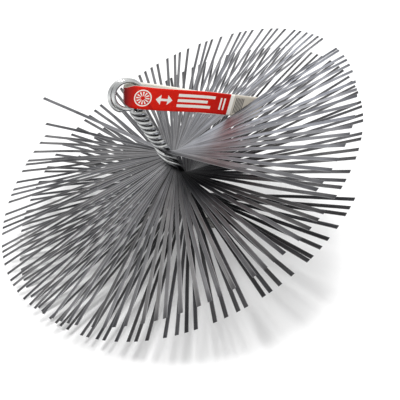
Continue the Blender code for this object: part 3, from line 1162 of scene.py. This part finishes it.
@dataclass
class StemWires:
    """Two hairpins of steel wire, whose four legs twist round the strips and into a rope under the eye."""

    axes: Matrix
    eye_height: float
    strip_width: float
    front: EyeRing = EyeRing(1, 0.0087, 0.0014, -0.0004, math.radians(34.0), math.radians(20.0))
    back: EyeRing = EyeRing(-1, 0.0096, -0.0001, -0.0015, math.radians(40.0), math.radians(60.0))
    wire_radius: float = 0.00135
    wire_gap: float = 0.0004
    channel_clearance: float = 0.0005
    rope_radius: float = 0.0029
    settle_length: float = 0.0060
    settle_margin: float = 0.0005
    rope_half_turns: float = 4.5
    eye_spacing: float = 0.0034
    eye_plane: float = math.radians(67.0)
    neck_drop: float = 0.0026
    stack_height: float = 0.0445
    fan_turn: float = math.radians(369.2)
    crowding: float = 0.075
    leg_end: float = 0.05725
    rope_step: float = 0.00045
    eye_steps: int = 60
    neck_steps: int = 12
    sides: int = 20

    @property
    def top_rate(self) -> float:
        """Rate at which the strips' channel turns at the top of the stack."""
        return self.fan_turn * (1 + self.crowding) / self.stack_height

    @property
    def foot_rate(self) -> float:
        """Rate at which the strips' channel turns at the foot of the stack."""
        return self.fan_turn * (1 - self.crowding) / self.stack_height

    @property
    def neck(self) -> float:
        """Height at which the rope ends and the legs part to the eye."""
        return self.eye_height - self.front.radius - self.neck_drop

    @property
    def rope_rate(self) -> float:
        """Rate at which the rope turns."""
        turn = self.rope_half_turns * math.pi - self.eye_plane
        return (turn - self.top_rate * self.settle_length / 2) / (self.neck - self.settle_length / 2)

    def beyond(self, distance: float, fan_rate: float) -> float:
        """Work out the angle turned over a distance outside the fan.

        Args:
            distance: Distance from the fan's end.
            fan_rate: Rate at which the fan turns at that end.

        Returns:
            The angle in radians.
        """
        share = progress(distance, 0.0, self.settle_length)
        # The rate eases over from the fan's to the rope's, so the angle holds the area under that curve.
        eased = self.settle_length * (share ** 3 - share ** 4 / 2) + max(distance - self.settle_length, 0)
        return fan_rate * distance + (self.rope_rate - fan_rate) * eased

    def twist(self, height: float) -> float:
        """Find the direction of the strips' channel.

        Args:
            height: Height up the stem.

        Returns:
            The angle in radians from the direction of the first strip.
        """
        if height > 0:
            return -self.beyond(height, self.top_rate)
        if height < -self.stack_height:
            return self.fan_turn + self.beyond(-height - self.stack_height, self.foot_rate)
        share = -height / self.stack_height
        return self.fan_turn * (share * (1 + self.crowding) - self.crowding * share * share)

    def leg_point(self, height: float, ring: EyeRing, leg_side: int) -> Vector:
        """Find a point of one leg's centre line.

        Args:
            height: Height up the stem.
            ring: The ring of the wire that the leg belongs to.
            leg_side: 1 for the leg that leaves the ring on the right, -1 for the other.

        Returns:
            The point, in the brush's own axes.
        """
        share = ease(max(height, -self.stack_height - height), self.settle_margin, self.settle_length)
        slope = math.cos(math.atan((self.strip_width / 2 + self.wire_radius) * self.top_rate))
        fan_along = (2 * self.wire_radius + self.wire_gap) / (2 * slope)
        fan_beside = self.strip_width / 2 + self.channel_clearance + self.wire_radius / slope
        rope = self.rope_radius / math.sqrt(2)
        point = Vector((
            ring.side * (fan_along + (rope - fan_along) * share),
            leg_side * (fan_beside + (rope - fan_beside) * share),
            height,
        ))
        return Matrix.Rotation(self.twist(height) - self.twist(self.neck) + math.pi / 2, 3, "Z") @ point

    def ring_point(self, angle: float, ring: EyeRing) -> Vector:
        """Find a point of a ring.

        Args:
            angle: The point's angle from the bottom of the eye.
            ring: The ring.

        Returns:
            The point, in the brush's own axes.
        """
        across = ring.shift + ring.radius * math.sin(angle)
        height = self.eye_height + ring.rise - ring.radius * math.cos(angle)
        return Vector((-across, ring.side * self.eye_spacing / 2, height))

    def neck_curve(self, ring: EyeRing, leg_side: int) -> list[Vector]:
        """Find the points that lead one leg from the rope out to its ring.

        Args:
            ring: The ring.
            leg_side: 1 for the leg that leaves the ring on the right, -1 for the other.

        Returns:
            The points between the rope and the ring, in the brush's own axes.
        """
        start = self.leg_point(self.neck, ring, leg_side)
        start_way = (start - self.leg_point(self.neck - self.rope_step, ring, leg_side)).normalized()
        angle = leg_side * (ring.right_open if leg_side > 0 else ring.left_open)
        end = self.ring_point(angle, ring)
        end_way = (self.ring_point(angle + leg_side * math.pi / self.eye_steps, ring) - end).normalized()
        length = (end - start).length
        points = []
        # A cubic curve that leaves its start and meets its end in the two ways found above.
        for step in range(1, self.neck_steps):
            t = step / self.neck_steps
            points.append(
                start * (2 * t ** 3 - 3 * t ** 2 + 1) + start_way * length * (t ** 3 - 2 * t ** 2 + t)
                + end * (3 * t ** 2 - 2 * t ** 3) + end_way * length * (t ** 3 - t ** 2)
            )
        return points

    def path(self, ring: EyeRing) -> list[Vector]:
        """Draw the centre line of one wire: up one leg, round its ring and down the other leg.

        Args:
            ring: The wire's ring.

        Returns:
            The points, in the world.
        """
        steps = round((self.neck + self.leg_end) / self.rope_step)
        heights = [-self.leg_end + (self.neck + self.leg_end) * step / steps for step in range(steps + 1)]
        points = [self.leg_point(height, ring, 1) for height in heights]
        points += self.neck_curve(ring, 1)
        last = 2 * math.pi - ring.left_open
        for step in range(self.eye_steps + 1):
            share = step / self.eye_steps
            points.append(self.ring_point(ring.right_open + (last - ring.right_open) * share, ring))
        points += reversed(self.neck_curve(ring, -1))
        points += [self.leg_point(height, ring, -1) for height in reversed(heights)]
        return [self.axes @ point for point in points]

    def tree(self, values: dict[str, object]) -> Graph:
        """Build the tree that draws wire along a line of edges, and notes its distance from the stem's axis.

        Over the rope's end the noted distance grows, so that the open eye stays free of the painted shade.

        Args:
            values: The tree's inputs.

        Returns:
            The tree's graph.
        """
        graph, given = new_tree("drawn wire", values)
        line = graph.result("GeometryNodeMeshToCurve", {"Mesh": given["Geometry"]})
        length = graph.add("GeometryNodeSplineParameter").outputs["Length"]
        circle = {"Resolution": given["Sides"], "Radius": given["Wire Radius"]}
        section = graph.result("GeometryNodeCurvePrimitiveCircle", circle)
        drawn = graph.sweep(graph.store(line, "wire_run", length), section)
        place = graph.result("GeometryNodeInputPosition")
        offset = graph.vector_math("SUBTRACT", "Vector", place, given["Stem Place"])
        across = graph.vector_math("CROSS_PRODUCT", "Vector", offset, given["Stem Way"])
        height = graph.vector_math("DOT_PRODUCT", "Value", offset, given["Stem Way"])
        distance = graph.vector_math("LENGTH", "Value", across)
        opening = graph.ramp(height, Span(given["Rope End"], given["Eye Start"], 0.0, self.eye_height))
        noted = graph.store(drawn, "stem_distance", graph.math("ADD", distance, opening))
        close_tree(graph, noted, given["Material"])
        return graph

    def build(self, finish: ZincWire) -> list[bpy.types.Object]:
        """Build both wires.

        Args:
            finish: The wires' finish.

        Returns:
            The two pieces.
        """
        values = {
            "Wire Radius": self.wire_radius,
            "Sides": self.sides,
            "Stem Place": self.axes.translation,
            "Stem Way": self.axes.col[2].xyz,
            "Rope End": self.neck,
            "Eye Start": self.neck + self.neck_drop,
            "Material": finish.material(),
        }
        graph = self.tree(values)
        pieces = []
        for label, ring in (("front", self.front), ("back", self.back)):
            points = self.path(ring)
            mesh = bpy.data.meshes.new(f"line_{label}")
            mesh.from_pydata(points, [(index, index + 1) for index in range(len(points) - 1)], [])
            piece = grow(f"stem_wire_{label}", mesh, graph, values)
            pieces.append(dress(piece, Body.BRUSH, [f"hairpin_wire_{label}"]))
        return pieces


@dataclass
class ThreadedEnd:
    """The collar that holds the four wire ends, and the stud below it with its screw thread."""

    axes: Matrix
    top: float = -0.0500
    bore_radius: float = 0.00455
    bore_depth: float = 0.0090
    bore_chamfer: float = 0.0002
    collar_radius: float = 0.00775
    collar_length: float = 0.0140
    collar_chamfer: float = 0.0008
    chamfer_ease: float = 0.00016
    chamfer_round: float = 0.00004
    stud_radius: float = 0.0060
    stud_length: float = 0.0145
    stud_chamfer: float = 0.0008
    pitch: float = 0.00175
    thread_depth: float = 0.00095
    thread_flank: Point = (0.15, 0.85)
    relief_length: float = 0.0016
    rows_per_pitch: int = 10
    steps: int = 72
    sharp_angle: float = math.radians(35.0)

    @property
    def shoulder(self) -> float:
        """Height of the collar's flat end, which the stud stands out from."""
        return self.top - self.collar_length

    def round_corner(self, height: float, way: int) -> list[Point]:
        """Draw an outer corner of the collar as a chamfer with eased edges.

        Args:
            height: Height of the collar's flat end at that corner.
            way: 1 where the collar is above that end, -1 where it is below.

        Returns:
            The points as (radius, height), from the flat end out.
        """
        size = self.collar_chamfer
        return [
            (self.collar_radius - size - self.chamfer_ease, height),
            (self.collar_radius - size, height + way * self.chamfer_round),
            (self.collar_radius - self.chamfer_round, height + way * (size - self.chamfer_round)),
            (self.collar_radius, height + way * (size + self.chamfer_ease)),
        ]

    def collar_rows(self) -> list[Point]:
        """Draw the collar's outline.

        Returns:
            The points as (radius, height), from the edge of the bore's floor out to the stud.
        """
        return [
            (self.bore_radius, self.top - self.bore_depth),
            (self.bore_radius, self.top - self.bore_chamfer),
            (self.bore_radius + self.bore_chamfer, self.top),
            *self.round_corner(self.top, -1),
            *reversed(self.round_corner(self.shoulder, 1)),
            (self.stud_radius - self.thread_depth, self.shoulder),
        ]

    def thread_radius(self, angle: float, depth: float) -> float:
        """Find the stud's radius at a place on its thread.

        Args:
            angle: Angle round the stud.
            depth: Depth below the shoulder.

        Returns:
            The radius.
        """
        phase = (-depth / self.pitch - angle / (2 * math.pi)) % 1.0
        cut = self.thread_depth * progress(abs(2 * phase - 1), *self.thread_flank)
        start = progress(depth, self.relief_length, self.relief_length + self.pitch)
        radius = self.stud_radius - self.thread_depth + (self.thread_depth - cut) * start
        return min(radius, self.stud_radius - self.stud_chamfer + (self.stud_length - depth))

    def rings(self) -> list[tuple[list[float], float]]:
        """List the rings of points that make the piece.

        Returns:
            The radii of each ring's points and its height, from the bore's floor to the stud's end.
        """
        rings = [([radius] * self.steps, height) for radius, height in self.collar_rows()]
        angles = [2 * math.pi * step / self.steps for step in range(self.steps)]
        rows = round(self.stud_length / self.pitch * self.rows_per_pitch)
        for row in range(1, rows + 1):
            depth = self.stud_length * row / rows
            rings.append(([self.thread_radius(angle, depth) for angle in angles], self.shoulder - depth))
        return rings

    def mesh(self) -> bpy.types.Mesh:
        """Build the mesh of collar and stud, closed and with its numbers for the finish.

        Returns:
            The mesh.
        """
        bm = bmesh.new()
        run = bm.verts.layers.float.new("turned_run")
        root = bm.verts.layers.float.new("thread_root")
        loops = []
        for radii, height in self.rings():
            loop = []
            for step, radius in enumerate(radii):
                angle = 2 * math.pi * step / self.steps
                point = Vector((radius * math.cos(angle), radius * math.sin(angle), height))
                cut = (self.stud_radius - radius) / self.thread_depth
                vert = bm.verts.new(self.axes @ point)
                vert[run] = height + radius
                vert[root] = cut if height < self.shoulder else 0.0
                loop.append(vert)
            loops.append(loop)
        for upper, lower in zip(loops, loops[1:]):
            for step in range(self.steps):
                after = (step + 1) % self.steps
                bm.faces.new((upper[step], lower[step], lower[after], upper[after]))
        bm.faces.new(loops[0])
        bm.faces.new(reversed(loops[-1]))
        bmesh.ops.recalc_face_normals(bm, faces=bm.faces)
        return finish_mesh("rod_thread", bm)

    def build(self, finish: TurnedSteel) -> bpy.types.Object:
        """Build the collar and the stud as one closed piece.

        Args:
            finish: The end's finish.

        Returns:
            The piece.
        """
        mesh = self.mesh()
        mesh.shade_smooth()
        mesh.set_sharp_from_angle(angle=self.sharp_angle)
        mesh.materials.append(finish.material())
        return dress(new_object("rod_thread", mesh), Body.BRUSH, ["threaded_end"])


@dataclass
class CardTag:
    """The card tag, folded once through the eye and tucked between the strips."""

    axes: Matrix
    pivot: Vector
    direction: float = math.radians(-187.7)
    droop: float = math.radians(41.2)
    width: float = 0.0144
    front_shift: float = 0.0005
    back_shift_near: float = -0.0012
    back_shift_far: float = 0.0003
    length: float = 0.0895
    thickness: float = 0.0003
    sheet_spacing: float = 0.0006
    front_depth: float = 0.0041
    back_depth: float = 0.0054
    loop_tip: float = 0.0014
    loop_mouth: float = 0.0035
    loop_flat_end: float = 0.0115
    sheets_meet: float = 0.0550
    fold_upper_half: float = 0.0041
    fold_lower_half: float = 0.0054
    fold_skew: float = math.radians(10.0)
    shoulder_start: float = -0.0030
    upper_shoulder_end: float = 0.0040
    lower_shoulder_end: float = 0.0058
    corner: float = 0.0012
    curl: float = 0.00016
    curl_waves: float = 2.0
    print_length: float = 0.2
    fold_steps: int = 22
    run_steps: int = 90
    cross_steps: int = 12

    def wave(self, along: float) -> float:
        """Return how far a sheet lifts from the other one, never less than nothing."""
        phase = (along - self.sheets_meet) / self.length * self.curl_waves * 2 * math.pi
        return self.curl * (1 - math.cos(phase)) / 2

    def half_path(self, depth: float, side: int) -> list[Point]:
        """Draw one half of the fold from the side.

        Args:
            depth: How far the half bulges out at the eye.
            side: 1 for the front half, -1 for the back half.

        Returns:
            The points as (along, out), from the fold to the card's end.
        """
        path = []
        for step in range(self.fold_steps):
            angle = step / self.fold_steps * math.pi / 2
            reach = (self.loop_mouth + self.loop_tip) * math.cos(angle)
            path.append((self.loop_mouth - reach, side * depth * math.sin(angle)))
        for step in range(self.run_steps + 1):
            along = self.loop_mouth + (self.length - self.loop_mouth) * step / self.run_steps
            share = ease(along, self.loop_flat_end, self.sheets_meet)
            out = depth + (self.sheet_spacing / 2 - depth) * share
            path.append((along, side * (out + self.wave(along) * share)))
        return path

    def outline(self) -> tuple[list[Point], list[float]]:
        """Draw the whole card from the side, from the back half's end round the fold to the front half's end.

        Returns:
            The points as (along, out), and each one's run along the card from the fold.
        """
        # The two halves share the fold's own point, so the back half leaves it out.
        back = self.half_path(self.back_depth, -1)[:0:-1]
        path = back + self.half_path(self.front_depth, 1)
        runs = [0.0]
        for before, after in zip(path, path[1:]):
            runs.append(runs[-1] + math.dist(before, after))
        return path, [run - runs[len(back)] for run in runs]

    def half_shift(self, along: float, out: float) -> float:
        """Find how far a half of the card lies off its middle line.

        Args:
            along: Place along the card from the eye's middle.
            out: Place towards the front.

        Returns:
            The distance, towards the upper edge.
        """
        if out > 0:
            return self.front_shift
        return self.back_shift_near + (self.back_shift_far - self.back_shift_near) * along / self.length

    def edge_point(self, along: float, out: float, side: int) -> Vector:
        """Find a point on a long edge, which is drawn narrow and slants where the card folds through the eye.

        Args:
            along: Place along the card from the eye's middle.
            out: Place towards the front.
            side: 1 for the upper edge, -1 for the lower one.

        Returns:
            The point, in the tag's own axes.
        """
        fold_half = self.fold_upper_half if side > 0 else self.fold_lower_half
        shoulder_end = self.upper_shoulder_end if side > 0 else self.lower_shoulder_end
        share = ease(along, self.shoulder_start, shoulder_end)
        cut = max(along - (self.length - self.corner), 0.0)
        corner = self.corner - math.sqrt(max(self.corner ** 2 - cut ** 2, 0.0))
        half = fold_half + (self.width / 2 - fold_half) * share - corner
        across = side * half + self.half_shift(along, out) * share
        return Vector((along - across * math.tan(self.fold_skew) * (1 - share), across, out))

    def place(self) -> Matrix:
        """Find the tag's own axes: X along it, Y across, Z towards its front.

        Returns:
            The matrix from the tag's own axes to the world.
        """
        outward = Vector((math.cos(self.direction), math.sin(self.direction), 0))
        up = Vector((0, 0, 1))
        along = outward * math.cos(self.droop) - up * math.sin(self.droop)
        across = outward * math.sin(self.droop) + up * math.cos(self.droop)
        turned = Matrix((along, across, along.cross(across))).transposed().to_4x4()
        return self.axes @ Matrix.Translation(self.pivot) @ turned

    def sheet(self) -> bpy.types.Mesh:
        """Build the card as a sheet without thickness, with its length and width on its UV map.

        Returns:
            The mesh.
        """
        path, runs = self.outline()
        place = self.place()
        shares = [step / self.cross_steps for step in range(self.cross_steps + 1)]
        bm = bmesh.new()
        layer = bm.loops.layers.uv.new("card")
        rows = []
        for along, out in path:
            low, high = (place @ self.edge_point(along, out, side) for side in (-1, 1))
            rows.append([bm.verts.new(low.lerp(high, share)) for share in shares])
        for index in range(len(rows) - 1):
            for step in range(self.cross_steps):
                corners = ((index, step), (index + 1, step), (index + 1, step + 1), (index, step + 1))
                face = bm.faces.new([rows[row][column] for row, column in corners])
                for loop, (row, column) in zip(face.loops, corners):
                    loop[layer].uv = (UV_MIDDLE + runs[row] / self.print_length, shares[column])
        return finish_mesh("card_tag", bm)

    def build(self, finish: PrintedCard) -> bpy.types.Object:
        """Build the card with its print outside and its bare side inside.

        Args:
            finish: The card's finish.

        Returns:
            The piece.
        """
        mesh = self.sheet()
        mesh.shade_smooth()
        sizes = (self.print_length * MILLIMETRES_PER_METRE, self.width * MILLIMETRES_PER_METRE)
        mesh.materials.append(finish.outside(*sizes))
        mesh.materials.append(finish.inside())
        piece = new_object("card_tag", mesh)
        card = piece.modifiers.new("card", "SOLIDIFY")
        card.thickness = self.thickness
        card.offset = 0
        card.material_offset = 1
        card.material_offset_rim = 1
        card.use_even_offset = True
        return dress(piece, Body.TAG, ["size_tag"])


@dataclass
class Studio:
    """The pale floor, the soft light and the camera."""

    camera_place: tuple[float, float, float] = (-0.10216, -0.27429, 0.22054)
    camera_down: float = math.radians(57.152)
    camera_roll: float = math.radians(0.163)
    camera_heading: float = math.radians(-24.713)
    camera_near: float = 0.01
    lens: float = 45.0
    floor_size: float = 12.0
    floor_colour: Colour = (0.80, 0.80, 0.80)
    floor_lift: float = 0.16
    sky_level: float = 0.78
    lamp_heading: float = math.radians(215.0)
    lamp_elevation: float = math.radians(78.0)
    lamp_spread: float = math.radians(13.0)
    lamp_strength: float = 2.0

    def shown_background(self, graph: Graph) -> Socket:
        """Return 1 for rays that show the background: from the camera, from gloss and through glass."""
        path = graph.add("ShaderNodeLightPath").outputs
        return graph.highest(path["Is Camera Ray"], path["Is Glossy Ray"], path["Is Transmission Ray"])

    def build_floor(self) -> None:
        """Lay the floor, which shows white but for the shadow on it."""
        bm = bmesh.new()
        bmesh.ops.create_grid(bm, x_segments=1, y_segments=1, size=self.floor_size / 2)
        mesh = finish_mesh("floor", bm)
        material, graph, shader = new_material("floor")
        graph.feed(shader, {
            "Base Color": (*self.floor_colour, OPAQUE),
            "Roughness": 1.0,
            "Specular IOR Level": 0.0,
            "Emission Color": (*WHITE, OPAQUE),
            "Emission Strength": graph.product(self.shown_background(graph), self.floor_lift),
        })
        mesh.materials.append(material)
        floor = new_object("floor", mesh)

    def build_light(self) -> None:
        """Set the sky, which the camera sees white, and the lamp, which stands almost overhead."""
        world = bpy.data.worlds.new("studio")
        world.use_nodes = True
        bpy.context.scene.world = world
        graph = Graph(world.node_tree)
        level = graph.ramp(self.shown_background(graph), Span(0.0, 1.0, self.sky_level, 1.0))
        graph.feed(world.node_tree.nodes["Background"], {"Color": (*WHITE, OPAQUE), "Strength": level})
        lamp = bpy.data.lights.new("lamp", "SUN")
        lamp.angle = self.lamp_spread
        lamp.energy = self.lamp_strength
        heading = Vector((math.cos(self.lamp_heading), math.sin(self.lamp_heading), 0))
        way = heading * math.cos(self.lamp_elevation) + Vector((0, 0, math.sin(self.lamp_elevation)))
        new_object("lamp", lamp).rotation_euler = way.to_track_quat("Z", "Y").to_euler()

    def build_camera(self) -> None:
        """Place the camera where the photograph was taken from."""
        camera = bpy.data.cameras.new("camera")
        camera.lens = self.lens
        camera.clip_start = self.camera_near
        holder = new_object("camera", camera)
        holder.location = self.camera_place
        holder.rotation_euler = (self.camera_down, self.camera_roll, self.camera_heading)
        bpy.context.scene.camera = holder

    def build(self) -> None:
        """Build the whole studio."""
        self.build_floor()
        self.build_light()
        self.build_camera()
        bpy.context.scene.view_settings.view_transform = "Standard"


def main() -> None:
    """Build every piece and the studio."""
    logging.basicConfig(level=logging.INFO, format="%(name)s %(message)s")
    stem = StemAxes()
    axes = stem.matrix()
    fan = StripFan(axes)
    fan.build(SpringSteel())
    StemWires(axes, stem.eye_height, fan.width).build(ZincWire())
    ThreadedEnd(axes).build(TurnedSteel())
    CardTag(axes, stem.pivot()).build(PrintedCard())
    Studio().build()
    bpy.context.view_layer.update()


if __name__ == "__main__":
    main()
